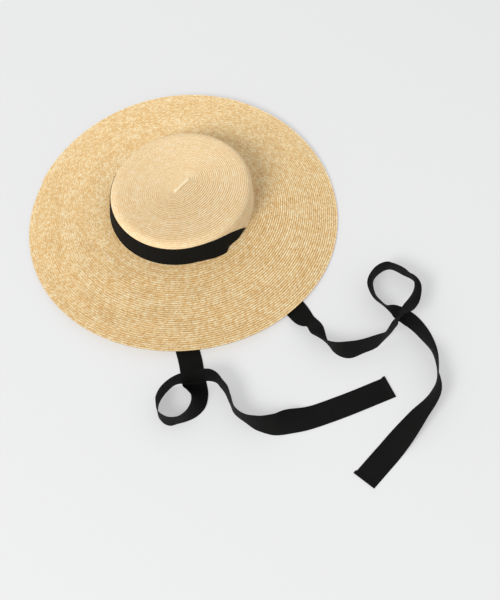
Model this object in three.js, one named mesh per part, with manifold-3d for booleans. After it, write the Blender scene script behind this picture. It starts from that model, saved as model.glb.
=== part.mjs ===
// A sun hat of sewn straw braid with a black ribbon round the front of its crown.
// Millimetres, +Z up, the hat resting crown up on z = 0. +Y is the back, +X the wearer's left.
import * as THREE from "three";
import Module from "manifold-3d";

const wasm = await Module();
wasm.setup();

// Driving dimensions
const crownHalfX = 90.2; // outside of the crown where it meets the brim
const crownHalfY = 97.5;
const ridgeHalf = 14.1; // the crown's oval narrows to a straight ridge this long each way
const strawThick = 2;
const brimRun = 112.3; // from the crown's foot out to the brim's edge, in plan
const crownFoot = 40.2; // height of the brim's top face where the crown stands
const edgeRise = 11.6; // how far the brim's high edges stand above its low ones
const edgeRest = 0.6; // how much of that is taken off, so the low edges rest flat
const lowTurn = 38.1; // turn of the line through the two low edges, degrees
const ribbonWide = 30;
const ribbonThick = 1;
const bandGap = 0.45;
const slitWide = 3;
const slitStart = { arc: 77.4, out: 6 }; // degrees from the front, and out from the crown's foot
const slitEnd = { arc: 105.5, out: 1.9 };
const slitSpare = 1.2; // degrees the slit runs past the ribbon at each end
const tieSteps = 200;
const crownSides = 64;
const brimSides = 72;
const bandStep = 5; // degrees, the widest step along the band

// The crown's outside, from its foot up over the shoulder to the middle of the top
const crownProfile = [
  { inward: 0, up: 0.3 },
  { inward: 1.3, up: 14 },
  { inward: 2.6, up: 27 },
  { inward: 3.3, up: 31 },
  { inward: 5.2, up: 34.3 },
  { inward: 8.6, up: 36.9 },
  { inward: 13, up: 38.2 },
  { inward: 20, up: 38.7 },
  { inward: 45, up: 39.4 },
  { inward: 90.2, up: 39.8 },
];

// Distances out from the crown's foot at which the brim is drawn, the last two being its foot
const brimOuts = [-2, 0, 3, 8, 20, 40, 60, 80, 100, 110, 112.3];

// The band from the front round to the slit: top edge above the foot, lower edge's distance off
// the wall, and the lower edge above the brim
const bandRows = [
  { arc: 0, topUp: 30.8, lowOff: 0, lowUp: 0.4 },
  { arc: 56, topUp: 30.8, lowOff: 0, lowUp: 0.4 },
  { arc: 63, topUp: 30.5, lowOff: 0.6, lowUp: 0.4 },
  { arc: 69, topUp: 29.3, lowOff: 2.2, lowUp: 0.4 },
  { arc: 73.5, topUp: 28, lowOff: 4.2, lowUp: 0.3 },
  { arc: 76.8, topUp: 27, lowOff: 5.05, lowUp: 0.3 },
  { arc: 77.4, topUp: 26.8, lowOff: 5.05, lowUp: -1 },
  { arc: 84, topUp: 24, lowOff: 4.09, lowUp: -1 },
  { arc: 88, topUp: 21.4, lowOff: 3.51, lowUp: -1 },
  { arc: 91, topUp: 18.6, lowOff: 3.07, lowUp: -1 },
  { arc: 94, topUp: 15.2, lowOff: 2.63, lowUp: -1 },
  { arc: 98, topUp: 10.2, lowOff: 2.04, lowUp: -1 },
  { arc: 101, topUp: 5.8, lowOff: 1.61, lowUp: -1 },
  { arc: 103, topUp: 2.6, lowOff: 1.32, lowUp: -1 },
  { arc: 104.5, topUp: 0.4, lowOff: 1.1, lowUp: -1 },
];

// Routes of the loose ends: centre of the ribbon, and the way its width points
const rightRoute = [
  { x: -94, y: 2.6, z: 37.9, turn: -96, rise: 0 },
  { x: -94, y: 2.6, z: 30, turn: -96, rise: 0 },
  { x: -91, y: 1.5, z: 18, turn: -98, rise: 0 },
  { x: -81, y: -2, z: 7.5, turn: -101, rise: 0 },
  { x: -62, y: -7, z: 0.7, turn: -105, rise: 0 },
  { x: -22, y: -20, z: 0.7, turn: -114, rise: 0 },
  { x: 25, y: -48, z: 0.7, turn: -126, rise: 0 },
  { x: 66, y: -84, z: 0.7, turn: -131, rise: 0 },
  { x: 98.8, y: -112.3, z: 0.7, turn: -132, rise: 0 },
  { x: 126.6, y: -137.8, z: 0.7, turn: -129, rise: 0 },
  { x: 149.9, y: -154.7, z: 0.7, turn: -128, rise: 0 },
  { x: 172, y: -173.3, z: 0.7, turn: -132, rise: 0 },
  { x: 188.1, y: -184.6, z: 8.6, turn: -140, rise: 32 },
  { x: 197.6, y: -195.3, z: 13.1, turn: -154, rise: 56 },
  { x: 201.5, y: -207.1, z: 15.1, turn: 179, rise: 75 },
  { x: 201.1, y: -218.8, z: 15.6, turn: 65, rise: 89 },
  { x: 196.9, y: -229.7, z: 15.4, turn: -39, rise: 81 },
  { x: 189.9, y: -238.1, z: 15.6, turn: -74, rise: 84 },
  { x: 181.3, y: -240.6, z: 15.6, turn: -86, rise: 85 },
  { x: 173.6, y: -239.3, z: 15.5, turn: -56, rise: 82 },
  { x: 166.8, y: -234.7, z: 15.3, turn: -48, rise: 78 },
  { x: 161.1, y: -228.4, z: 15.4, turn: -69, rise: 80 },
  { x: 157.1, y: -218.8, z: 15.6, turn: -81, rise: 86 },
  { x: 155.9, y: -206.6, z: 15.9, turn: -51, rise: 87 },
  { x: 158.3, y: -192.8, z: 17.2, turn: -39, rise: 84 },
  { x: 168, y: -179.8, z: 18.4, turn: -122, rise: 89 },
  { x: 178.9, y: -166.9, z: 18.1, turn: 128, rise: 87 },
  { x: 188.2, y: -158.4, z: 16.7, turn: 51, rise: 88 },
  { x: 195.6, y: -156.3, z: 16, turn: -13, rise: 84 },
  { x: 203.9, y: -158.1, z: 15.4, turn: -20, rise: 79 },
  { x: 215, y: -161.3, z: 15.2, turn: -18, rise: 77 },
  { x: 227, y: -168, z: 15.5, turn: -32, rise: 81 },
  { x: 240.3, y: -175.6, z: 15.2, turn: -38, rise: 76 },
  { x: 256.8, y: -175.8, z: 14.7, turn: -8, rise: 69 },
  { x: 273.4, y: -170.5, z: 14.4, turn: 54, rise: 67 },
  { x: 287.9, y: -159, z: 13.1, turn: 123, rise: 56 },
  { x: 298, y: -142, z: 8, turn: 146, rise: 29 },
  { x: 309.5, y: -123.9, z: 2.5, turn: 150, rise: 7 },
  { x: 333.6, y: -80, z: 0.7, turn: 153, rise: 0 },
  { x: 362, y: -21, z: 0.7, turn: 153, rise: 0 },
];
const leftRoute = [
  { x: 94, y: 2.6, z: 37.9, turn: -84, rise: 0 },
  { x: 94, y: 2.6, z: 30, turn: -84, rise: 0 },
  { x: 95, y: 2, z: 18, turn: -84, rise: 0 },
  { x: 102, y: 0.5, z: 7, turn: -86, rise: 0 },
  { x: 118, y: -1, z: 0.7, turn: -89, rise: 0 },
  { x: 145, y: -3, z: 0.7, turn: -95, rise: 0 },
  { x: 163, y: -4.5, z: 0.7, turn: -95, rise: 0 },
  { x: 183, y: -6.5, z: 0.7, turn: -99, rise: 0 },
  { x: 203.1, y: -10.6, z: 2, turn: -106.1, rise: 4.4 },
  { x: 222.7, y: -16.9, z: 5.6, turn: -91.2, rise: 21.5 },
  { x: 237.5, y: -17.7, z: 9.1, turn: -102.5, rise: 35.3 },
  { x: 251.6, y: -25.7, z: 11.1, turn: -125.3, rise: 44.9 },
  { x: 274.5, y: -29.7, z: 15.4, turn: -111, rise: 79 },
  { x: 295.1, y: -19.1, z: 15.2, turn: 129, rise: 74 },
  { x: 305.4, y: -3.5, z: 15.5, turn: 160, rise: 82 },
  { x: 313.7, y: 11.6, z: 17.3, turn: 157.8, rise: 86.2 },
  { x: 318.3, y: 26.7, z: 19.9, turn: -81.1, rise: 67.3 },
  { x: 319, y: 41.6, z: 28.3, turn: -62, rise: 88.7 },
  { x: 319.5, y: 50.3, z: 30.6, turn: -80.9, rise: 46.7 },
  { x: 319.6, y: 60, z: 29.9, turn: 43.9, rise: 43.7 },
  { x: 314.9, y: 80.2, z: 21, turn: 56.8, rise: 35.7 },
  { x: 306.9, y: 101.9, z: 18, turn: 63.3, rise: 64.1 },
  { x: 290.7, y: 117.1, z: 15.3, turn: -124, rise: 70 },
  { x: 274.5, y: 116.9, z: 15.1, turn: -112, rise: 74 },
  { x: 258.1, y: 112.6, z: 15, turn: -83, rise: 73 },
  { x: 250.3, y: 90.1, z: 15.6, turn: -113, rise: 87 },
  { x: 261, y: 69.8, z: 14.1, turn: -142.4, rise: 65 },
  { x: 276.6, y: 62.9, z: 13.1, turn: -111.1, rise: 57.1 },
  { x: 291.5, y: 62.4, z: 11.4, turn: -71.3, rise: 52.3 },
  { x: 303.2, y: 66.4, z: 8.4, turn: -65.2, rise: 27.6 },
  { x: 317.6, y: 68.8, z: 5.6, turn: -84.2, rise: 23.9 },
  { x: 337.8, y: 65.8, z: 8.4, turn: -99, rise: 31 },
  { x: 360.7, y: 56.6, z: 11.1, turn: -108, rise: 44 },
  { x: 381.1, y: 43.1, z: 14, turn: -103, rise: 63 },
  { x: 397.5, y: 25.4, z: 15.4, turn: -111, rise: 80 },
  { x: 411.2, y: 2.9, z: 14, turn: 10, rise: 63 },
  { x: 413.4, y: -36.6, z: 8.8, turn: -5, rise: 33 },
  { x: 414.4, y: -86.6, z: 1.1, turn: 0, rise: 2 },
  { x: 414.2, y: -141.9, z: 0.7, turn: 0, rise: 0 },
];

const toRadians = Math.PI / 180;

// A value read from a table between its rows, in a straight line
function lookUp(rows, key, value, at) {
  if (at <= rows[0][key]) return rows[0][value];
  for (let i = 1; i < rows.length; i++) {
    if (at > rows[i][key]) continue;
    const share = (at - rows[i - 1][key]) / (rows[i][key] - rows[i - 1][key]);
    return rows[i - 1][value] + share * (rows[i][value] - rows[i - 1][value]);
  }
  return rows[rows.length - 1][value];
}

// A point of the oval that lies out from the crown's foot, at a turn from +X
function ovalPoint(out, turn, z) {
  const halfX = crownHalfX + out;
  const slope = out < 0 ? (crownHalfY - ridgeHalf) / crownHalfX : 1;
  const halfY = crownHalfY + slope * out;
  return [halfX * Math.cos(turn), halfY * Math.sin(turn), z];
}

// How far the brim's edge is lifted at a turn from +X
function edgeLift(turn) {
  const across = Math.sin(turn - lowTurn * toRadians);
  return Math.max(0, edgeRise * across * across - edgeRest);
}

// The brim's top face: it slopes down and a little over, and lifts towards its high edges
function brimTop(out, turn) {
  const share = Math.max(0, out) / brimRun;
  const fall = 0.85 * share + 0.15 * share * share;
  return crownFoot - (crownFoot - strawThick) * fall + edgeLift(turn) * share * share;
}

// Rows of points joined into faces, each row running round from its first point. Where the walls
// are to be cut alike, the second half of a row is the first one's other side, and its faces are
// cut along the same diagonals, so that a twisted strip keeps its thickness
function joinRows(rows, closedRow, closedRing, alike = false) {
  const count = rows[0].length;
  const triangles = [];
  const rowLinks = closedRing ? rows.length : rows.length - 1;
  const pointLinks = closedRow ? count : count - 1;
  for (let i = 0; i < rowLinks; i++) {
    for (let j = 0; j < pointLinks; j++) {
      const next = (i + 1) % rows.length;
      const a = rows[i][j];
      const b = rows[i][(j + 1) % count];
      const c = rows[next][(j + 1) % count];
      const d = rows[next][j];
      if (alike && j >= count / 2) {
        triangles.push(a, b, d, b, c, d);
      } else {
        triangles.push(a, b, c, a, c, d);
      }
    }
  }
  return triangles;
}

function geometryOf(triangles) {
  const geometry = new THREE.BufferGeometry();
  geometry.setAttribute("position", new THREE.Float32BufferAttribute(triangles.flat(), 3));
  return geometry;
}

// The crown: the outside profile, then the same set in by the thickness of the straw
function makeCrown() {
  const last = crownProfile.length - 1;
  const outer = crownProfile.map((p) => ({ out: -p.inward, up: p.up }));
  const inner = crownProfile.map((p, i) => {
    if (i === 0) return { out: -p.inward - strawThick, up: p.up };
    if (i === last) return { out: -p.inward, up: p.up - strawThick };
    const run = crownProfile[i + 1].inward - crownProfile[i - 1].inward;
    const rise = crownProfile[i + 1].up - crownProfile[i - 1].up;
    const length = Math.hypot(run, rise);
    return { out: -p.inward - (strawThick * rise) / length, up: p.up - (strawThick * run) / length };
  });
  const ring = (p) =>
    Array.from({ length: crownSides }, (_, k) =>
      ovalPoint(p.out, (k / crownSides) * 2 * Math.PI, crownFoot + p.up),
    );
  const outerRows = outer.map(ring);
  const innerRows = inner.map(ring).reverse();
  const faces = joinRows(outerRows, true, false)
    .concat(joinRows(innerRows, true, false))
    .concat(joinRows([innerRows[last], outerRows[0]], true, false));
  return geometryOf(faces);
}

function solidOf(geometry) {
  const positions = geometry.getAttribute("position").array;
  const keys = new Map();
  const vertices = [];
  const triangles = [];
  for (let i = 0; i < positions.length; i += 3) {
    const point = [positions[i], positions[i + 1], positions[i + 2]];
    const key = point.map((value) => value.toFixed(4)).join(" ");
    if (!keys.has(key)) {
      keys.set(key, keys.size);
      vertices.push(...point);
    }
    triangles.push(keys.get(key));
  }
  const mesh = new wasm.Mesh({
    numProp: 3,
    vertProperties: new Float32Array(vertices),
    triVerts: new Uint32Array(triangles),
  });
  return new wasm.Manifold(mesh);
}

// The tool that cuts one slit, following the crown round from the ribbon's lower edge
function slitTool(side) {
  const first = slitStart.arc - slitSpare;
  const last = slitEnd.arc + slitSpare;
  const rows = Array.from({ length: 9 }, (_, k) => {
    const arc = first + ((last - first) * k) / 8;
    const share = (arc - slitStart.arc) / (slitEnd.arc - slitStart.arc);
    const out = slitStart.out + share * (slitEnd.out - slitStart.out);
    const turn = (arc - 90) * toRadians;
    const corners = [
      ovalPoint(out + slitWide / 2, turn, 30),
      ovalPoint(out - slitWide / 2, turn, 30),
      ovalPoint(out - slitWide / 2, turn, 50),
      ovalPoint(out + slitWide / 2, turn, 50),
    ];
    return side > 0 ? corners : corners.map(([x, y, z]) => [-x, y, z]).reverse();
  });
  return solidOf(geometryOf(capEnds(rows, false)));
}

// Rings joined along, with both ends closed
function capEnds(rows, alike) {
  const end = rows[rows.length - 1];
  const start = rows[0];
  const last = start.length - 1;
  const faces = joinRows(rows, true, false, alike);
  for (let i = 0; i < (last - 1) / 2; i++) {
    const far = last - i;
    faces.push(start[i], start[far - 1], start[i + 1], start[i], start[far], start[far - 1]);
    faces.push(end[i], end[i + 1], end[far - 1], end[i], end[far - 1], end[far]);
  }
  return faces;
}

// The brim, with a level foot under its edge and a slit at each side
function makeBrim() {
  const edge = brimOuts.length - 1;
  const ring = (out, drop) =>
    Array.from({ length: brimSides }, (_, k) => {
      const turn = (k / brimSides) * 2 * Math.PI;
      const level = drop > 0 && out >= brimOuts[edge - 1] ? brimRun : out;
      return ovalPoint(out, turn, brimTop(level, turn) - drop);
    });
  const topRows = brimOuts.map((out) => ring(out, 0)).reverse();
  const underRows = brimOuts.map((out) => ring(out, strawThick));
  let solid = solidOf(geometryOf(joinRows(topRows.concat(underRows), true, true)));
  solid = solid.subtract(slitTool(1)).subtract(slitTool(-1));
  const mesh = solid.getMesh();
  const geometry = new THREE.BufferGeometry();
  geometry.setAttribute("position", new THREE.BufferAttribute(mesh.vertProperties, 3));
  geometry.setIndex(new THREE.BufferAttribute(mesh.triVerts, 1));
  return geometry.toNonIndexed();
}

// The band: four heights from the lower edge to the top one, its inner face then its outer face
function makeBand() {
  const heights = [0, 0.33, 0.67, 1];
  const half = [0];
  for (let i = 1; i < bandRows.length; i++) {
    const gap = bandRows[i].arc - bandRows[i - 1].arc;
    const count = Math.ceil(gap / bandStep);
    for (let k = 1; k <= count; k++) half.push(bandRows[i - 1].arc + (gap * k) / count);
  }
  const arcs = half.slice(1).map((arc) => -arc).reverse().concat(half);
  const rows = arcs.map((arc) => {
    const turn = (arc - 90) * toRadians;
    const off = lookUp(bandRows, "arc", "lowOff", Math.abs(arc));
    const top = crownFoot + lookUp(bandRows, "arc", "topUp", Math.abs(arc));
    const low = brimTop(off + bandGap, turn) + lookUp(bandRows, "arc", "lowUp", Math.abs(arc));
    const face = (share, spare) => {
      const z = low + share * (top - low);
      const wall = -lookUp(crownProfile, "up", "inward", z - crownFoot);
      return ovalPoint(wall + bandGap + off * (1 - share) + spare, turn, z);
    };
    const inner = heights.map((share) => face(share, 0));
    const outer = heights.map((share) => face(share, ribbonThick));
    return inner.concat(outer.reverse());
  });
  const start = rows[0];
  const end = rows[rows.length - 1];
  const faces = joinRows(rows, true, false);
  for (let i = 0; i < 3; i++) {
    faces.push(start[i], start[7 - i], start[i + 1], start[i + 1], start[7 - i], start[6 - i]);
    faces.push(end[i], end[i + 1], end[7 - i], end[i + 1], end[6 - i], end[7 - i]);
  }
  return geometryOf(faces);
}

// A smooth curve through the rows of a table, with the rows spaced by their distance apart
function smoothCurve(knots, values, at) {
  const count = knots.length;
  let i = 0;
  while (i < count - 2 && at >= knots[i + 1]) i++;
  const slope = (k) => (j) => (values[k + 1][j] - values[k][j]) / (knots[k + 1] - knots[k]);
  const tangent = (k) => (j) => {
    if (k === 0) return slope(0)(j);
    if (k === count - 1) return slope(count - 2)(j);
    const before = knots[k] - knots[k - 1];
    const after = knots[k + 1] - knots[k];
    return (after * slope(k - 1)(j) + before * slope(k)(j)) / (after + before);
  };
  const step = knots[i + 1] - knots[i];
  const u = (at - knots[i]) / step;
  return [0, 1, 2].map(
    (j) =>
      (1 + 2 * u) * (1 - u) ** 2 * values[i][j] +
      u * (1 - u) ** 2 * step * tangent(i)(j) +
      u * u * (3 - 2 * u) * values[i + 1][j] +
      u * u * (u - 1) * step * tangent(i + 1)(j),
  );
}

// A flat strip along a route, lifted wherever an edge would dip below the surface
function makeTie(route) {
  const centres = route.map((r) => [r.x, r.y, r.z]);
  const widths = route.map((r) => {
    const level = Math.cos(r.rise * toRadians);
    const turn = r.turn * toRadians;
    return [Math.cos(turn) * level, Math.sin(turn) * level, Math.sin(r.rise * toRadians)];
  });
  const knots = [0];
  for (let i = 1; i < centres.length; i++) {
    const [x, y, z] = centres[i].map((value, j) => value - centres[i - 1][j]);
    knots.push(knots[i - 1] + Math.hypot(x, y, z));
  }
  const total = knots[knots.length - 1];
  const rows = [];
  for (let k = 0; k <= tieSteps; k++) {
    const at = (total * k) / tieSteps;
    const centre = new THREE.Vector3(...smoothCurve(knots, centres, at));
    const ahead = new THREE.Vector3(...smoothCurve(knots, centres, Math.min(total, at + 0.5)));
    const behind = new THREE.Vector3(...smoothCurve(knots, centres, Math.max(0, at - 0.5)));
    const along = ahead.sub(behind).normalize();
    const across = new THREE.Vector3(...smoothCurve(knots, widths, at));
    across.addScaledVector(along, -across.dot(along)).normalize();
    const normal = new THREE.Vector3().crossVectors(along, across);
    const lowest = (ribbonWide / 2) * Math.abs(across.z) + 0.65;
    centre.z = Math.max(centre.z, lowest);
    const corner = (wide, thick) =>
      centre
        .clone()
        .addScaledVector(across, (wide * ribbonWide) / 2)
        .addScaledVector(normal, (thick * ribbonThick) / 2)
        .toArray();
    const under = [-1, 0, 1].map((wide) => corner(wide, -1));
    const over = [1, 0, -1].map((wide) => corner(wide, 1));
    rows.push(under.concat(over));
  }
  return geometryOf(capEnds(rows, true));
}

const group = new THREE.Group();

function addPiece(name, geometry, colour, roughness) {
  const material = new THREE.MeshStandardMaterial({ color: colour, roughness, metalness: 0 });
  const mesh = new THREE.Mesh(geometry, material);
  mesh.name = name;
  group.add(mesh);
}

addPiece("crown", makeCrown(), 0xe6cb98, 0.7);
addPiece("brim", makeBrim(), 0xdfbf88, 0.7);
addPiece("hat_band", makeBand(), 0x1a1a19, 0.8);
addPiece("tie_left", makeTie(leftRoute), 0x1a1a19, 0.8);
addPiece("tie_right", makeTie(rightRoute), 0x1a1a19, 0.8);

export default group;
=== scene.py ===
import math

import bpy
import numpy as np
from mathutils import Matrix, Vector


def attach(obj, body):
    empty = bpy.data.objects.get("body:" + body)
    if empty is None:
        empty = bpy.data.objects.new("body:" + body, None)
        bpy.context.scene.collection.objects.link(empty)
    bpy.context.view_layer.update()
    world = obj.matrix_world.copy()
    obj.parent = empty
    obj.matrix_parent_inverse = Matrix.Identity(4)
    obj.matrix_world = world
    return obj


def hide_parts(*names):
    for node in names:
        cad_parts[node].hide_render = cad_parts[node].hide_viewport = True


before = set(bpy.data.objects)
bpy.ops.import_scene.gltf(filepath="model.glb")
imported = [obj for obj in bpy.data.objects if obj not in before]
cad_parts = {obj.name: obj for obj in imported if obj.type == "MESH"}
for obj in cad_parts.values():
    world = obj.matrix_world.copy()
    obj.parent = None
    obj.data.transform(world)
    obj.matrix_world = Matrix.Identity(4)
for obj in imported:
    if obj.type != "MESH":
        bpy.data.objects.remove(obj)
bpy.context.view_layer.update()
print("frame loaded")

mm = 0.001
sharpFrom = 50  # degrees between two faces, from which their edge is shaded sharp
bpy.context.scene.view_settings.view_transform = "Standard"

# camera

cameraSettings = {
    "place": (0.72225, -0.71604, 1.4568),
    "lookAt": (0.14983, -0.03959, 0.006),
    "lens": 79.51,
    "sensorWidth": 36,
}


def aimFrom(place, lookAt):
    # the turn that points an object's -Z from one place to another, its +Y kept upwards
    return (Vector(lookAt) - Vector(place)).to_track_quat("-Z", "Y").to_euler()


cameraData = bpy.data.cameras.new("camera")
cameraData.lens = cameraSettings["lens"]
cameraData.sensor_width = cameraSettings["sensorWidth"]
camera = bpy.data.objects.new("camera", cameraData)
camera.location = cameraSettings["place"]
camera.rotation_euler = aimFrom(cameraSettings["place"], cameraSettings["lookAt"])
bpy.context.collection.objects.link(camera)
bpy.context.scene.camera = camera
print("camera placed")

# building helpers


def addGrid(name, points, alongUv, acrossUv, material):
    # rows of a closed ring joined along, with a flat face closing each end; the map's u is the
    # distance along, its v the place across
    rowCount, ringCount = points.shape[:2]
    row = np.arange(rowCount - 1)[:, None]
    spot = np.arange(ringCount)[None, :]
    nextSpot = (spot + 1) % ringCount
    quads = np.stack(
        [
            row * ringCount + spot,
            row * ringCount + nextSpot,
            (row + 1) * ringCount + nextSpot,
            (row + 1) * ringCount + spot,
        ],
        axis=-1,
    ).reshape(-1, 4)
    startFace = list(range(ringCount))[::-1]
    endFace = list(range((rowCount - 1) * ringCount, rowCount * ringCount))
    mesh = bpy.data.meshes.new(name)
    mesh.from_pydata(points.reshape(-1, 3).tolist(), [], quads.tolist() + [startFace, endFace])
    u = np.stack([row, row, row + 1, row + 1], axis=-1)
    v = np.stack([spot, spot + 1, spot + 1, spot], axis=-1)
    u, v = np.broadcast_arrays(u, v)
    corners = np.stack([alongUv[u], acrossUv[v]], axis=-1).reshape(-1, 2)
    startUv = np.stack([np.full(ringCount, alongUv[0]), acrossUv[:ringCount][::-1]], axis=-1)
    endUv = np.stack([np.full(ringCount, alongUv[-1]), acrossUv[:ringCount]], axis=-1)
    uvLayer = mesh.uv_layers.new(name="weave")
    uvLayer.uv.foreach_set("vector", np.concatenate([corners, startUv, endUv]).ravel())
    mesh.shade_smooth()
    mesh.set_sharp_from_angle(angle=math.radians(sharpFrom))
    mesh.materials.append(material)
    made = bpy.data.objects.new(name, mesh)
    bpy.context.collection.objects.link(made)
    return made


def setInput(tree, node, key, value):
    # a link where the value is another node's socket, or else a fixed value
    if isinstance(value, bpy.types.NodeSocket):
        tree.links.new(value, node.inputs[key])
    else:
        node.inputs[key].default_value = value


def addNode(tree, kind, settings=None, inputs=None):
    # a node with its own settings, and its inputs fixed or linked
    made = tree.nodes.new(kind)
    for key, value in (settings or {}).items():
        setattr(made, key, value)
    for key, value in (inputs or {}).items():
        setInput(tree, made, key, value)
    return made


def mathNode(tree, operation, *values):
    # one step of arithmetic on numbers or sockets, by Blender's name for it
    made = addNode(tree, "ShaderNodeMath", {"operation": operation})
    for i, value in enumerate(values):
        setInput(tree, made, i, value)
    return made.outputs[0]


def mixNode(tree, share, first, second, blend="MIX"):
    # two colours mixed, or the first one multiplied by the second
    made = addNode(tree, "ShaderNodeMix", {"data_type": "RGBA", "blend_type": blend})
    for key, value in ((0, share), (6, first), (7, second)):
        setInput(tree, made, key, value)
    return made.outputs[2]


def rangeNode(tree, value, fromRange, toRange, kind="LINEAR"):
    # one range of values carried over to another, held at its ends
    made = addNode(tree, "ShaderNodeMapRange", {"interpolation_type": kind})
    keys = ("Value", "From Min", "From Max", "To Min", "To Max")
    for key, amount in zip(keys, (value, *fromRange, *toRange)):
        setInput(tree, made, key, amount)
    return made.outputs[0]


def newGroup(name, inputs, outputs):
    # an empty shader group with its named sockets, and its two end nodes
    tree = bpy.data.node_groups.new(name, "ShaderNodeTree")
    for socketName, kind, value in inputs:
        made = tree.interface.new_socket(socketName, in_out="INPUT", socket_type=kind)
        made.default_value = value
    for socketName, kind in outputs:
        tree.interface.new_socket(socketName, in_out="OUTPUT", socket_type=kind)
    return tree, tree.nodes.new("NodeGroupInput"), tree.nodes.new("NodeGroupOutput")


def smoothNoise(count, spacing, step, seed):
    # numbers between -1 and 1 that change smoothly along a run, one for each step
    source = np.random.default_rng(seed)
    knots = int(count * step / spacing) + 4
    values = source.uniform(-1, 1, knots)
    at = np.arange(count) * step / spacing
    low = at.astype(int)
    share = at - low
    share = share * share * (3 - 2 * share)
    return values[low] * (1 - share) + values[low + 1] * share


# straw material

strawSettings = {
    "strandLength": 2.5 * mm,  # along the braid, from one strand to the next
    "plaitCentre": -0.1 * mm,
    "strands": 7,  # straws in the plait, which come round again and again
    "strawLasts": 210,  # strands before the next straws are taken in
    "grooveHalf": 0.5 * mm,
    "lipShade": (1.15 * mm, 1.45 * mm),  # where a row's outer side turns dark with painted shade
    "tuckShade": (-0.75 * mm, -1.2 * mm),  # where its inner side goes under the row inside it, darkened with painted shade
    "tuckShadeLevel": 0.9,  # how light the painted shade leaves it there
    "strandShadeLevel": 0.82,  # how light the painted shade leaves the dips between two strands
    "toneSpread": 0.66,
    "patchScale": 70.0,
    "streakScale": 45.0,
    "patchGain": 3.0,
    "roughness": 0.42,
    "roughnessSpread": 0.25,
    "bumpStrength": 0.6,
    "bumpHeight": 0.25 * mm,
    "specular": 0.35,
}
# three tones of straw, how far strands and patches differ, and how light the painted shade leaves
# the seams between rows
strawLooks = {
    "crown": {
        "Deep": (0.83, 0.56, 0.275, 1),
        "Middle": (0.91, 0.67, 0.37, 1),
        "Pale": (0.96, 0.81, 0.55, 1),
        "Fleck": 0.6,
        "Patch": 0.14,
        "Seam": 0.53,
    },
    "start": {
        "Deep": (0.90, 0.66, 0.38, 1),
        "Middle": (0.97, 0.78, 0.50, 1),
        "Pale": (1.0, 0.88, 0.64, 1),
        "Fleck": 0.5,
        "Patch": 0.1,
        "Seam": 0.8,
    },
    "brim": {
        "Deep": (0.77, 0.475, 0.185, 1),
        "Middle": (0.89, 0.625, 0.30, 1),
        "Pale": (0.99, 0.82, 0.51, 1),
        "Fleck": 1.0,
        "Patch": 0.22,
        "Seam": 0.38,
    },
}
weaveOutputs = [
    ("Color", "NodeSocketColor"),
    ("Height", "NodeSocketFloat"),
    ("Roughness", "NodeSocketFloat"),
]


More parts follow.
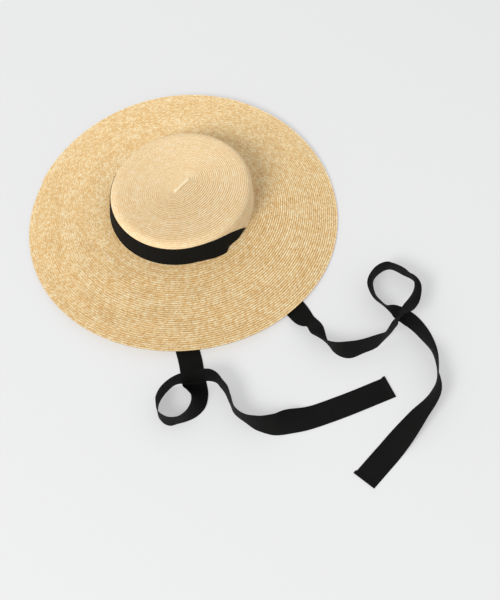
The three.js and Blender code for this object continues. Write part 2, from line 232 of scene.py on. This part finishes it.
def buildPlaitGroup():
    # chevrons of straw: each strand runs aslant from the middle of the braid, has its own
    # colour, and is rounded across
    tree, start, end = newGroup(
        "strawPlait",
        [
            ("Deep", "NodeSocketColor", (0.6, 0.35, 0.1, 1)),
            ("Middle", "NodeSocketColor", (0.8, 0.6, 0.3, 1)),
            ("Pale", "NodeSocketColor", (0.95, 0.8, 0.5, 1)),
            ("Fleck", "NodeSocketFloat", 1.0),
            ("Patch", "NodeSocketFloat", 0.3),
            # Seam: how light the painted shade leaves the seams between rows
            ("Seam", "NodeSocketFloat", 0.5),
        ],
        weaveOutputs,
    )
    weave = addNode(tree, "ShaderNodeUVMap", {"uv_map": "weave"}).outputs[0]
    parts = addNode(tree, "ShaderNodeSeparateXYZ", None, {"Vector": weave})
    along, across = parts.outputs[0], parts.outputs[1]
    fromMiddle = mathNode(tree, "SUBTRACT", across, strawSettings["plaitCentre"])
    side = mathNode(tree, "GREATER_THAN", fromMiddle, 0.0)
    slant = mathNode(tree, "ABSOLUTE", fromMiddle)
    shifted = mathNode(tree, "MULTIPLY_ADD", side, strawSettings["strandLength"] / 2, along)
    strand = mathNode(
        tree, "DIVIDE", mathNode(tree, "ADD", shifted, slant), strawSettings["strandLength"]
    )
    index = mathNode(tree, "FLOOR", strand)
    within = mathNode(tree, "FRACT", strand)
    key = addNode(tree, "ShaderNodeCombineXYZ", None, {"X": index, "Y": side})
    chance = addNode(
        tree, "ShaderNodeTexWhiteNoise", {"noise_dimensions": "2D"}, {"Vector": key.outputs[0]}
    )
    # the same few straws come round again and again, each with its own tone, until they run out
    straw = mathNode(tree, "MODULO", index, float(strawSettings["strands"]))
    batch = mathNode(
        tree, "FLOOR", mathNode(tree, "DIVIDE", index, float(strawSettings["strawLasts"]))
    )
    owner = addNode(tree, "ShaderNodeCombineXYZ", None, {"X": straw, "Y": batch, "Z": side})
    ownTone = addNode(
        tree, "ShaderNodeTexWhiteNoise", {"noise_dimensions": "3D"}, {"Vector": owner.outputs[0]}
    )
    place = addNode(tree, "ShaderNodeTexCoord").outputs["Object"]
    patch = addNode(
        tree,
        "ShaderNodeTexNoise",
        None,
        {"Vector": place, "Scale": strawSettings["patchScale"], "Detail": 3.0, "Roughness": 0.6},
    )
    stretch = addNode(tree, "ShaderNodeCombineXYZ", None, {"X": along, "Y": 0.0})
    streak = addNode(
        tree,
        "ShaderNodeTexNoise",
        {"noise_dimensions": "2D"},
        {
            "Vector": stretch.outputs[0],
            "Scale": strawSettings["streakScale"],
            "Detail": 2.0,
            "Roughness": 0.6,
        },
    )
    tones = mathNode(tree, "ADD", chance.outputs["Value"], ownTone.outputs["Value"])
    toneSpread = strawSettings["toneSpread"]
    spread = mathNode(tree, "MULTIPLY_ADD", tones, toneSpread, -toneSpread)
    tone = mathNode(tree, "MULTIPLY_ADD", spread, start.outputs["Fleck"], 0.5)
    cloud = mathNode(tree, "SUBTRACT", patch.outputs["Fac"], 0.5)
    run = mathNode(tree, "SUBTRACT", streak.outputs["Fac"], 0.5)
    both = mathNode(tree, "MULTIPLY", mathNode(tree, "ADD", cloud, run), start.outputs["Patch"])
    tone = mathNode(tree, "MULTIPLY_ADD", both, strawSettings["patchGain"], tone)
    lowShare = mathNode(tree, "MULTIPLY", tone, 2.0)
    highShare = mathNode(tree, "MULTIPLY_ADD", tone, 2.0, -1.0)
    lower = mixNode(tree, lowShare, start.outputs["Deep"], start.outputs["Middle"])
    upper = mixNode(tree, highShare, lower, start.outputs["Pale"])
    # a strand is highest along its middle, and the braid's own middle is a shallow groove
    bow = mathNode(tree, "SINE", mathNode(tree, "MULTIPLY", within, math.pi))
    groove = mathNode(
        tree, "MINIMUM", mathNode(tree, "DIVIDE", slant, strawSettings["grooveHalf"]), 1.0
    )
    height = mathNode(tree, "MULTIPLY", bow, groove)
    # painted shade: the colour darkens in the dips between strands, where a strand's height is low
    shade = rangeNode(tree, height, (0.0, 0.5), (strawSettings["strandShadeLevel"], 1.0))
    shaded = mixNode(tree, 1.0, upper, shade, "MULTIPLY")
    rough = mathNode(
        tree,
        "MULTIPLY_ADD",
        chance.outputs["Value"],
        strawSettings["roughnessSpread"],
        strawSettings["roughness"],
    )
    # painted shade: the outer lip and the tucked inner side of a row are darkened, as shade falls
    # between two rows
    lipShade = rangeNode(tree, across, strawSettings["lipShade"], (1.0, start.outputs["Seam"]), "SMOOTHSTEP")
    tuckShade = rangeNode(
        tree, across, strawSettings["tuckShade"], (1.0, strawSettings["tuckShadeLevel"]), "SMOOTHSTEP"
    )
    creaseShade = mathNode(tree, "MULTIPLY", lipShade, tuckShade)
    tree.links.new(mixNode(tree, 1.0, shaded, creaseShade, "MULTIPLY"), end.inputs["Color"])
    tree.links.new(height, end.inputs["Height"])
    tree.links.new(rough, end.inputs["Roughness"])
    return tree


plaitGroup = buildPlaitGroup()


def makeWeave(name, group, inputs, settings):
    # a material whose colour, roughness and relief come from one weave group
    material = bpy.data.materials.new(name)
    material.use_nodes = True
    tree = material.node_tree
    shader = tree.nodes["Principled BSDF"]
    weave = addNode(tree, "ShaderNodeGroup", {"node_tree": group}, inputs)
    relief = {
        "Strength": settings["bumpStrength"],
        "Distance": settings["bumpHeight"],
        "Height": weave.outputs["Height"],
    }
    bump = addNode(tree, "ShaderNodeBump", None, relief)
    tree.links.new(weave.outputs["Color"], shader.inputs["Base Color"])
    tree.links.new(weave.outputs["Roughness"], shader.inputs["Roughness"])
    tree.links.new(bump.outputs[0], shader.inputs["Normal"])
    shader.inputs["Specular IOR Level"].default_value = settings["specular"]
    return material


crownStraw, startStraw, brimStraw = (
    makeWeave(piece + "Straw", plaitGroup, strawLooks[piece], strawSettings)
    for piece in ("crown", "start", "brim")
)

# ribbon material

ribbonSettings = {
    "width": 0.030,
    "thick": 0.6 * mm,
    "ribPitch": 1.25 * mm,
    "edgeWide": 0.9 * mm,
    "edgeRib": 0.3,  # how high the ribs still are in the woven edge
    "threadScale": 700.0,
    "threadHeight": 0.12,
    "roughness": 0.82,
    "ribShine": -0.12,
    "bumpStrength": 0.5,
    "bumpHeight": 0.2 * mm,
    "specular": 0.08,
    "colour": (0.0046, 0.0046, 0.0043, 1),
    "ribColour": (0.0085, 0.0085, 0.008, 1),
}


def buildRibGroup():
    # ribs across the ribbon, rounded and a little uneven, with a plain woven edge
    tree, start, end = newGroup(
        "ribbedWeave",
        [
            ("Ground", "NodeSocketColor", (0.01, 0.01, 0.01, 1)),
            ("Rib", "NodeSocketColor", (0.02, 0.02, 0.02, 1)),
            ("Pitch", "NodeSocketFloat", 0.00125),
        ],
        weaveOutputs,
    )
    weave = addNode(tree, "ShaderNodeUVMap", {"uv_map": "weave"}).outputs[0]
    parts = addNode(tree, "ShaderNodeSeparateXYZ", None, {"Vector": weave})
    along, across = parts.outputs[0], parts.outputs[1]
    count = mathNode(tree, "DIVIDE", along, start.outputs["Pitch"])
    index = mathNode(tree, "FLOOR", count)
    within = mathNode(tree, "FRACT", count)
    rib = mathNode(tree, "SINE", mathNode(tree, "MULTIPLY", within, math.pi))
    ownChance = addNode(tree, "ShaderNodeTexWhiteNoise", {"noise_dimensions": "1D"}, {"W": index})
    threads = addNode(
        tree,
        "ShaderNodeTexWave",
        {"wave_type": "BANDS", "bands_direction": "Y", "wave_profile": "SIN"},
        {"Vector": weave, "Scale": ribbonSettings["threadScale"], "Distortion": 0.0},
    )
    fromMiddle = mathNode(tree, "ABSOLUTE", across)
    toEdge = mathNode(tree, "SUBTRACT", ribbonSettings["width"] / 2, fromMiddle)
    inside = mathNode(tree, "GREATER_THAN", toEdge, ribbonSettings["edgeWide"])
    edgeRib = ribbonSettings["edgeRib"]
    fullness = mathNode(tree, "MULTIPLY_ADD", inside, 1 - edgeRib, edgeRib)
    ribHeight = mathNode(tree, "MULTIPLY", rib, fullness)
    threadHeight = ribbonSettings["threadHeight"]
    height = mathNode(tree, "MULTIPLY_ADD", threads.outputs["Fac"], threadHeight, ribHeight)
    uneven = mathNode(tree, "MULTIPLY_ADD", ownChance.outputs["Value"], 0.4, 0.3)
    share = mathNode(tree, "MULTIPLY", ribHeight, uneven)
    colour = mixNode(tree, share, start.outputs["Ground"], start.outputs["Rib"])
    tree.links.new(colour, end.inputs["Color"])
    rough = mathNode(
        tree, "MULTIPLY_ADD", rib, ribbonSettings["ribShine"], ribbonSettings["roughness"]
    )
    tree.links.new(height, end.inputs["Height"])
    tree.links.new(rough, end.inputs["Roughness"])
    return tree


ribbonInputs = {
    "Ground": ribbonSettings["colour"],
    "Rib": ribbonSettings["ribColour"],
    "Pitch": ribbonSettings["ribPitch"],
}
ribbonCloth = makeWeave("ribbonCloth", buildRibGroup(), ribbonInputs, ribbonSettings)
print("materials made")

# loose ends

tieSettings = {
    "steps": 420,
    "acrossPoints": 9,
    "floorClear": 0.65 * mm,
    "wave": 0.35 * mm,
    "waveSpacing": 30 * mm,
    "waveFade": 2 * mm,  # room above the floor at which the wave is whole
    "hem": 4.5 * mm,
    "hemFold": 0.8 * mm,  # the step from one layer to two
    "hemOver": 1.3 * mm,  # how far the folded layer shows past one edge
    "routes": {
        # x, y, z of the ribbon's middle, and its width's turn and rise in degrees
        "tie_left": [
            (0.094, 0.0026, 0.0379, -84, 0),
            (0.094, 0.0026, 0.03, -84, 0),
            (0.095, 0.002, 0.018, -84, 0),
            (0.102, 0.0005, 0.007, -86, 0),
            (0.118, -0.001, 0.0007, -89, 0),
            (0.145, -0.003, 0.0007, -95, 0),
            (0.163, -0.0045, 0.0007, -95, 0),
            (0.183, -0.0065, 0.0007, -99, 0),
            (0.2031, -0.0106, 0.002, -106.1, 4.4),
            (0.2227, -0.0169, 0.0056, -91.2, 21.5),
            (0.2375, -0.0177, 0.0091, -102.5, 35.3),
            (0.2516, -0.0257, 0.0111, -125.3, 44.9),
            (0.2745, -0.0297, 0.0154, -111, 79),
            (0.2951, -0.0191, 0.0152, 129, 74),
            (0.3054, -0.0035, 0.0155, 160, 82),
            (0.3137, 0.0116, 0.0173, 157.8, 86.2),
            (0.3183, 0.0267, 0.0199, -81.1, 67.3),
            (0.319, 0.0416, 0.0283, -62, 88.7),
            (0.3195, 0.0503, 0.0306, -80.9, 46.7),
            (0.3196, 0.06, 0.0299, 43.9, 43.7),
            (0.3149, 0.0802, 0.021, 56.8, 35.7),
            (0.3069, 0.1019, 0.018, 63.3, 64.1),
            (0.2907, 0.1171, 0.0153, -124, 70),
            (0.2745, 0.1169, 0.0151, -112, 74),
            (0.2581, 0.1126, 0.015, -83, 73),
            (0.2503, 0.0901, 0.0156, -113, 87),
            (0.261, 0.0698, 0.0141, -142.4, 65),
            (0.2766, 0.0629, 0.0131, -111.1, 57.1),
            (0.2915, 0.0624, 0.0114, -71.3, 52.3),
            (0.3032, 0.0664, 0.0084, -65.2, 27.6),
            (0.3176, 0.0688, 0.0056, -84.2, 23.9),
            (0.3378, 0.0658, 0.0084, -99, 31),
            (0.3607, 0.0566, 0.0111, -108, 44),
            (0.3811, 0.0431, 0.014, -103, 63),
            (0.3975, 0.0254, 0.0154, -111, 80),
            (0.4112, 0.0029, 0.014, 10, 63),
            (0.4134, -0.0366, 0.0088, -5, 33),
            (0.4144, -0.0866, 0.0011, 0, 2),
            (0.4142, -0.1419, 0.0007, 0, 0),
        ],
        "tie_right": [
            (-0.094, 0.0026, 0.0379, -96, 0),
            (-0.094, 0.0026, 0.03, -96, 0),
            (-0.091, 0.0015, 0.018, -98, 0),
            (-0.081, -0.002, 0.0075, -101, 0),
            (-0.062, -0.007, 0.0007, -105, 0),
            (-0.022, -0.02, 0.0007, -114, 0),
            (0.025, -0.048, 0.0007, -126, 0),
            (0.066, -0.084, 0.0007, -131, 0),
            (0.0988, -0.1123, 0.0007, -132, 0),
            (0.1266, -0.1378, 0.0007, -129, 0),
            (0.1499, -0.1547, 0.0007, -128, 0),
            (0.172, -0.1733, 0.0007, -132, 0),
            (0.1881, -0.1846, 0.0086, -140, 32),
            (0.1976, -0.1953, 0.0131, -154, 56),
            (0.2015, -0.2071, 0.0151, 179, 75),
            (0.2011, -0.2188, 0.0156, 65, 89),
            (0.1969, -0.2297, 0.0154, -39, 81),
            (0.1899, -0.2381, 0.0156, -74, 84),
            (0.1813, -0.2406, 0.0156, -86, 85),
            (0.1736, -0.2393, 0.0155, -56, 82),
            (0.1668, -0.2347, 0.0153, -48, 78),
            (0.1611, -0.2284, 0.0154, -69, 80),
            (0.1571, -0.2188, 0.0156, -81, 86),
            (0.1559, -0.2066, 0.0159, -51, 87),
            (0.1583, -0.1928, 0.0172, -39, 84),
            (0.168, -0.1798, 0.0184, -122, 89),
            (0.1789, -0.1669, 0.0181, 128, 87),
            (0.1882, -0.1584, 0.0167, 51, 88),
            (0.1956, -0.1563, 0.016, -13, 84),
            (0.2039, -0.1581, 0.0154, -20, 79),
            (0.215, -0.1613, 0.0152, -18, 77),
            (0.227, -0.168, 0.0155, -32, 81),
            (0.2403, -0.1756, 0.0152, -38, 76),
            (0.2568, -0.1758, 0.0147, -8, 69),
            (0.2734, -0.1705, 0.0144, 54, 67),
            (0.2879, -0.159, 0.0131, 123, 56),
            (0.298, -0.142, 0.008, 146, 29),
            (0.3095, -0.1239, 0.0025, 150, 7),
            (0.3336, -0.08, 0.0007, 153, 0),
            (0.362, -0.021, 0.0007, 153, 0),
        ],
    },
}


def smoothCurve(knots, values, at):
    # a cubic between the rows of a table, with each row's slope the weighted mean of its sides'
    gap = np.diff(knots)
    slope = np.diff(values, axis=0) / gap[:, None]
    tangent = np.empty_like(values)
    tangent[0], tangent[-1] = slope[0], slope[-1]
    before, after = gap[:-1, None], gap[1:, None]
    tangent[1:-1] = (after * slope[:-1] + before * slope[1:]) / (after + before)
    i = np.clip(np.searchsorted(knots, at, side="right") - 1, 0, len(knots) - 2)
    u = ((at - knots[i]) / gap[i])[:, None]
    step = gap[i][:, None]
    return (
        (1 + 2 * u) * (1 - u) ** 2 * values[i]
        + u * (1 - u) ** 2 * step * tangent[i]
        + u * u * (3 - 2 * u) * values[i + 1]
        + u * u * (u - 1) * step * tangent[i + 1]
    )


def unit(vectors):
    # each vector divided by its own length
    return vectors / np.linalg.norm(vectors, axis=-1, keepdims=True)


def runLength(points):
    # how far along a line of points each one is
    return np.concatenate([[0], np.cumsum(np.linalg.norm(np.diff(points, axis=0), axis=-1))])


def placeRings(middle, across, normal, places, heights):
    # each ring's points: so far across and so far up from its place on the line
    sideways = across[:, None] * places[..., None]
    upwards = normal[:, None] * heights[..., None]
    return middle[:, None] + sideways + upwards


def ribbonRing(halfWide, thick, points):
    # a flat ring: places across, and heights above the middle of the cloth
    share = np.linspace(-1, 1, points)
    wide = np.concatenate([share, share[::-1]]) * halfWide
    high = np.concatenate([np.full(points, -0.5), np.full(points, 0.5)]) * thick
    return wide, high


def sweepRibbon(name, route, seed, hemSide):
    # the ribbon's ring carried along its route, turned to each row's width and kept off the floor
    table = np.array(route)
    centres = table[:, :3]
    turn, rise = np.radians(table[:, 3]), np.radians(table[:, 4])
    level = np.cos(rise)
    widths = np.stack([np.cos(turn) * level, np.sin(turn) * level, np.sin(rise)], axis=1)
    knots = runLength(centres)
    at = np.linspace(0, knots[-1], tieSettings["steps"])
    middle = smoothCurve(knots, centres, at)
    along = unit(np.gradient(middle, axis=0))
    across = smoothCurve(knots, widths, at)
    across = unit(across - np.sum(across * along, axis=1, keepdims=True) * along)
    normal = np.cross(along, across)
    lowest = 0.5 * ribbonSettings["width"] * np.abs(across[:, 2]) + tieSettings["floorClear"]
    spare = np.clip(middle[:, 2] - lowest, 0, 1)
    middle[:, 2] = np.maximum(middle[:, 2], lowest)
    step = knots[-1] / tieSettings["steps"]
    wave = smoothNoise(len(at), tieSettings["waveSpacing"], step, seed) * tieSettings["wave"]
    middle = middle + normal * (wave * np.clip(spare / tieSettings["waveFade"], 0, 1))[:, None]
    distance = runLength(middle)
    wide, high = ribbonRing(
        ribbonSettings["width"] / 2, ribbonSettings["thick"], tieSettings["acrossPoints"]
    )
    # the cut end is folded back on itself: twice as thick, and a little past one edge
    intoHem = distance - distance[-1] + tieSettings["hem"]
    hem = np.clip(intoHem / tieSettings["hemFold"], 0, 1)[:, None]
    over = np.clip(hemSide * wide / wide.max(), 0, 1) * tieSettings["hemOver"]
    places = wide[None, :] + hem * hemSide * over
    heights = high[None, :] * (1 + hem) + hem * 0.5 * ribbonSettings["thick"]
    points = placeRings(middle, across, normal, places, heights)
    made = addGrid(name, points, distance, np.append(wide, wide[0]), ribbonCloth)
    return made, middle, distance[-1]


def addTie(name, node, seed, hemSide):
    # one loose end, from its slit to its hem
    route = tieSettings["routes"][node]
    tie, middle, length = sweepRibbon(name, route, seed, hemSide)
    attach(tie, "root")
    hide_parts(node)
    print(name, "is", round(float(length), 3), "m long")


addTie("ribbon_tie_left", "tie_left", seed=11, hemSide=-1)
addTie("ribbon_tie_right", "tie_right", seed=12, hemSide=1)

# the hat's surface

hatSettings = {
    "crownHalfX": 90.2 * mm,
    "ridgeHalf": 14.1 * mm,
    "footStretch": 7.3 * mm,
    "roundness": 12 * mm,
    "brimRun": 112.3 * mm,
    "crownFoot": 40.2 * mm,
    "edgeHeight": 2 * mm,
    "edgeRise": 11.6 * mm,
    "edgeRest": 0.6 * mm,
    "lowTurn": 38.1,  # degrees from +X to the low side at the left back
    "fallStraight": 0.85,  # how much of the brim's fall is straight, and the rest curved
    "unevenness": 0.28 * mm,
    "sag": 0.25 * mm,
    "sagReach": 60 * mm,
    "profileSteps": 600,
    # inward from the foot, and up from it
    "crownProfile": [
        (90.2 * mm, 39.8 * mm),
        (45 * mm, 39.4 * mm),
        (20 * mm, 38.7 * mm),
        (13 * mm, 38.2 * mm),
        (8.6 * mm, 36.9 * mm),
        (5.2 * mm, 34.3 * mm),
        (3.3 * mm, 31 * mm),
        (2.6 * mm, 27 * mm),
        (1.3 * mm, 14 * mm),
        (0, 0),
    ],
}


def ovalPlan(out, turn):
    # an oval whose ends stand apart by a ridge that shortens outwards: a stadium at the middle of
    # the crown, nearly an ellipse from its shoulder on
    reach = hatSettings["crownHalfX"] + out
    share = np.clip(reach / hatSettings["crownHalfX"], 0, 1)
    shorter = hatSettings["footStretch"] - hatSettings["ridgeHalf"]
    ridge = hatSettings["ridgeHalf"] + shorter * share
    soft = reach / (reach + hatSettings["roundness"])
    sine, cosine = np.sin(turn), np.cos(turn)
    x = reach * cosine
    y = reach * sine + ridge * sine / np.sqrt(sine**2 + (soft * cosine) ** 2 + 1e-12)
    return x, y


def edgeLift(turn):
    # how far the brim's edge stands up: most at right angles to the line of its two low sides
    across = np.sin(turn - math.radians(hatSettings["lowTurn"]))
    return np.maximum(0, hatSettings["edgeRise"] * across**2 - hatSettings["edgeRest"])


def brimHeight(out, turn):
    # the fall of the brim's top face from the crown's foot, with the lift of its two high edges
    share = np.clip(out / hatSettings["brimRun"], 0, 1.02)
    straight = hatSettings["fallStraight"]
    fall = straight * share + (1 - straight) * share**2
    drop = (hatSettings["crownFoot"] - hatSettings["edgeHeight"]) * fall
    return hatSettings["crownFoot"] - drop + edgeLift(turn) * share**2


def profileRun():
    # the crown's outline as even steps of distance from the middle of the top to the foot
    table = np.array(hatSettings["crownProfile"])
    knots = runLength(table)
    fine = smoothCurve(knots, table, np.linspace(0, knots[-1], hatSettings["profileSteps"]))
    return runLength(fine), -fine[:, 0], fine[:, 1]


crownRun, crownOut, crownUp = profileRun()


def crownSurface(distance, turn):
    # the outline carried round the oval, with three slight rises and dips round the top
    out = np.interp(distance, crownRun, crownOut)
    x, y = ovalPlan(out, turn)
    sag = hatSettings["sag"] * np.sin(3 * turn + 0.7)
    sag = sag * np.clip(1 - distance / hatSettings["sagReach"], 0, 1)
    z = hatSettings["crownFoot"] + np.interp(distance, crownRun, crownUp) + sag
    return np.stack([x, y, z], axis=-1)


def brimSurface(distance, turn):
    # straight out over the fall; the unevenness is a few slow waves that fade at both edges
    x, y = ovalPlan(distance, turn)
    share = distance / hatSettings["brimRun"]
    wave = (
        np.sin(5 * turn + 9 * share)
        + 0.7 * np.sin(9 * turn - 14 * share + 1.3)
        + 0.5 * np.sin(14 * turn + 22 * share + 2.1)
    )
    fade = np.clip(share * 4, 0, 1) * np.clip((1 - share) * 6, 0.15, 1)
    z = brimHeight(distance, turn) + hatSettings["unevenness"] * wave * fade
    return np.stack([x, y, z], axis=-1)


# sewn braid

braidSettings = {
    "pitch": 2.75 * mm,
    "ringWide": np.array([-1.9, -1.1, 0.2, 1.25, 1.6, 1.55, 0.2, -1.8]) * mm,
    "ringHigh": np.array([-1.0, -0.6, 0.2, 0.58, 0.3, -0.6, -0.9, -1.4]) * mm,
    "startTurn": 2.6,  # radians
    "finePoints": 720,  # a turn, to measure the spiral with
    "tightReach": 50 * mm,  # nearer the middle than this the steps are shorter
    "tightShare": 0.35,
    "wander": 0.14 * mm,
    "wanderSpacing": 40 * mm,
    "liftSpacing": 25 * mm,
    "liftShare": 0.6,
    "lapped": 0.5 * mm,  # how far the last turn has risen by its end, over the row before
    # inset: how far in from the start and the end of the surface the first and last rows run
    "crown": {"inset": (1.4 * mm, 1.0 * mm), "step": 3.0 * mm, "relief": 0.68, "seed": 21},
    "brim": {"inset": (0.4 * mm, 1.5 * mm), "step": 4.2 * mm, "relief": 0.88, "seed": 31},
}


def layBraid(name, surface, run, settings, material):
    # a spiral of rows over a surface: its distance out grows by one pitch a turn, its first and
    # last half turns run level with the edges, and its ring stands on the surface's own normal
    pitch, step, seed = braidSettings["pitch"], settings["step"], settings["seed"]
    first, last = settings["inset"][0], run - settings["inset"][1]
    turns = (last - first) / pitch + 1
    fine = np.linspace(0, turns, int(turns * braidSettings["finePoints"]))
    out = np.clip(first + pitch * (fine - 0.5), first, last)
    path = surface(out, fine * 2 * math.pi + braidSettings["startTurn"])
    lengths = np.linalg.norm(np.diff(path, axis=0), axis=1)
    fromMiddle = np.linalg.norm(path[1:, :2], axis=1)
    reach = np.clip(fromMiddle / braidSettings["tightReach"], braidSettings["tightShare"], 1)
    spent = np.concatenate([[0], np.cumsum(lengths / (step * reach))])
    count = int(spent[-1])
    along = np.interp(np.linspace(0, spent[-1], count), spent, fine)
    length = np.interp(along, fine, np.concatenate([[0], np.cumsum(lengths)]))
    out = np.clip(first + pitch * (along - 0.5), first, last)
    turn = along * 2 * math.pi + braidSettings["startTurn"]
    place = surface(out, turn)
    tiny = 0.05 * mm
    outward = surface(np.maximum(out + tiny, tiny), turn) - surface(np.maximum(out - tiny, 0), turn)
    forward = surface(out, turn + 1e-3) - surface(out, turn - 1e-3)
    normal = unit(np.cross(outward, forward))
    ahead = unit(np.gradient(place, axis=0))
    across = unit(np.cross(ahead, normal))
    wander = smoothNoise(count, braidSettings["wanderSpacing"], step, seed)
    wander = wander * braidSettings["wander"]
    lift = smoothNoise(count, braidSettings["liftSpacing"], step, seed + 1)
    lift = lift * braidSettings["wander"] * braidSettings["liftShare"]
    lapped = np.clip(along - (turns - 1), 0, 1) * braidSettings["lapped"]
    wide = braidSettings["ringWide"][None, :] + wander[:, None]
    high = settings["relief"] * braidSettings["ringHigh"][None, :] + (lift + lapped)[:, None]
    points = placeRings(place, across, normal, wide, high)
    ring = braidSettings["ringWide"]
    made = addGrid(name, points, length, np.append(ring, ring[0]), material)
    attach(made, "root")
    print(name, "has", count, "steps of braid,", round(float(length[-1]), 1), "m")
    return made


crownBraid = layBraid(
    "crown_braid", crownSurface, crownRun[-1], braidSettings["crown"], crownStraw
)
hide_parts("crown")
brimBraid = layBraid(
    "brim_braid", brimSurface, hatSettings["brimRun"], braidSettings["brim"], brimStraw
)
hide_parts("brim")

# start of the braid, a raised bar on the middle of the crown

startSettings = {
    "halfLong": 14.5 * mm,
    "halfWide": 2.2 * mm,
    "high": 1.4 * mm,
    "shiftBack": 2 * mm,
    "sunk": 0.2 * mm,
    "steps": 41,
    "around": 12,
    "endPower": 8,  # the higher, the blunter its ends
    "endLeast": 0.004,
}


def addStartBar():
    # a flattened bar with rounded ends, where its width and height shrink almost to nothing
    share = np.linspace(-1, 1, startSettings["steps"])
    fullness = 1 - np.abs(share) ** startSettings["endPower"]
    swell = np.sqrt(np.clip(fullness, startSettings["endLeast"], 1))
    angle = np.linspace(0, 2 * math.pi, startSettings["around"], endpoint=False)
    y = share * startSettings["halfLong"] + startSettings["shiftBack"]
    x = -np.cos(angle)[None, :] * startSettings["halfWide"] * swell[:, None]
    base = hatSettings["crownFoot"] + hatSettings["crownProfile"][0][1] - startSettings["sunk"]
    z = base + np.sin(angle)[None, :] * startSettings["high"] * swell[:, None]
    points = np.stack([x, np.broadcast_to(y[:, None], x.shape), z], axis=-1)
    across = np.append(-np.cos(angle), -1.0) * startSettings["halfWide"]
    made = addGrid("braid_start", points, y - y[0], across, startStraw)
    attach(made, "root")
    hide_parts("crown")


addStartBar()
print("straw laid")

# band round the front of the crown

bandSettings = {
    "columns": 240,
    "points": 11,
    "gap": 0.45 * mm,
    "reach": 104.5,  # degrees to each side of the front
    "ripple": 0.15 * mm,
    "rippleSpacing": 20 * mm,
    "columnStep": 1.5 * mm,  # about how far apart the columns stand
    "seed": 41,
    # degrees from the front, and then in mm: the top edge above the foot, and the lower edge
    # off the wall and above the brim
    "rows": [
        (0, 30.8, 0, 0.4),
        (56, 30.8, 0.1, 0.4),
        (60, 30.7, 0.6, 0.4),
        (63, 30.5, 1.1, 0.4),
        (66, 30, 1.9, 0.4),
        (69, 29.3, 3.1, 0.3),
        (73.5, 28, 3.7, 0),
        (77, 27, 4.2, -0.6),
        (79, 26.4, 4.3, -1.2),
        (80.5, 25.8, 3.4, -1.4),
        (82.5, 24.9, 1.2, -1.4),
        (84, 24, 0.2, -1.4),
        (88, 21.4, 0, -1.4),
        (91, 18.6, 0.8, -1.4),
        (94, 15.2, 0.9, -1.4),
        (98, 10.2, 0.1, -1.4),
        (101, 5.8, 0, -1.4),
        (103, 2.6, 0, -1.2),
        (104.5, 0.4, 0, -1),
    ],
}


def addBand():
    # the ribbon stood on its edge round the wall: straight from its lower edge to its top one
    table = np.array(bandSettings["rows"])
    arc = np.linspace(-bandSettings["reach"], bandSettings["reach"], bandSettings["columns"])
    turn = np.radians(arc - 90)
    top, off, low = (np.interp(np.abs(arc), table[:, 0], table[:, k]) * mm for k in (1, 2, 3))
    top = hatSettings["crownFoot"] + top
    low = brimHeight(off + bandSettings["gap"], turn) + low
    share = np.linspace(0, 1, bandSettings["points"])
    z = low[:, None] + share[None, :] * (top - low)[:, None]
    wall = np.interp(hatSettings["crownFoot"] - z, -crownUp, crownOut)
    out = wall + bandSettings["gap"] + off[:, None] * (1 - share[None, :])
    ripple = bandSettings["ripple"] * smoothNoise(
        len(arc), bandSettings["rippleSpacing"], bandSettings["columnStep"], bandSettings["seed"]
    )
    out = out + ripple[:, None] * np.sin(math.pi * share)[None, :]
    inner = np.stack([*ovalPlan(out, turn[:, None]), z], axis=-1)
    outer = np.stack([*ovalPlan(out + ribbonSettings["thick"], turn[:, None]), z], axis=-1)
    points = np.concatenate([inner, outer[:, ::-1]], axis=1)
    distance = runLength(inner[:, bandSettings["points"] // 2])
    wide = (share - 0.5) * ribbonSettings["width"]
    across = np.concatenate([wide, wide[::-1], wide[:1]])
    made = addGrid("ribbon_band", points, distance, across, ribbonCloth)
    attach(made, "root")
    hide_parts("hat_band")


addBand()

# floor and light

stageSettings = {
    "floorHalf": 4.0,
    "floorColour": (0.39, 0.39, 0.39, 1),
    "floorRoughness": 0.9,
    "floorSpecular": 0.1,
    "floorGlow": 0.4,
    "worldColour": (0.86, 0.87, 0.88, 1),
    "worldStrength": 0.80,
    "keyFrom": (0.31, -4.37, 3.88),
    "keyAt": (0.08, -0.03, 0),
    "keySize": 2.2,
    "keyPower": 225,
}


def addFloor():
    # a pale sheet with a faint glow of its own, since the photo's shadows are very soft
    half = stageSettings["floorHalf"]
    mesh = bpy.data.meshes.new("floor")
    corners = [(-half, -half, 0), (half, -half, 0), (half, half, 0), (-half, half, 0)]
    mesh.from_pydata(corners, [], [(0, 1, 2, 3)])
    floor = bpy.data.objects.new("floor", mesh)
    bpy.context.collection.objects.link(floor)
    material = bpy.data.materials.new("floorPaper")
    material.use_nodes = True
    shader = material.node_tree.nodes["Principled BSDF"]
    shader.inputs["Base Color"].default_value = stageSettings["floorColour"]
    shader.inputs["Roughness"].default_value = stageSettings["floorRoughness"]
    shader.inputs["Specular IOR Level"].default_value = stageSettings["floorSpecular"]
    shader.inputs["Emission Color"].default_value = (1, 1, 1, 1)
    shader.inputs["Emission Strength"].default_value = stageSettings["floorGlow"]
    mesh.materials.append(material)


def addLights():
    # a pale world, and one large soft disc of light from the front
    world = bpy.data.worlds.new("studio")
    world.use_nodes = True
    background = world.node_tree.nodes["Background"]
    background.inputs["Color"].default_value = stageSettings["worldColour"]
    background.inputs["Strength"].default_value = stageSettings["worldStrength"]
    bpy.context.scene.world = world
    keyData = bpy.data.lights.new("key", "AREA")
    keyData.shape = "DISK"
    keyData.size = stageSettings["keySize"]
    keyData.energy = stageSettings["keyPower"]
    key = bpy.data.objects.new("key", keyData)
    key.location = stageSettings["keyFrom"]
    key.rotation_euler = aimFrom(stageSettings["keyFrom"], stageSettings["keyAt"])
    bpy.context.collection.objects.link(key)


addFloor()
addLights()
print("floor and light set")
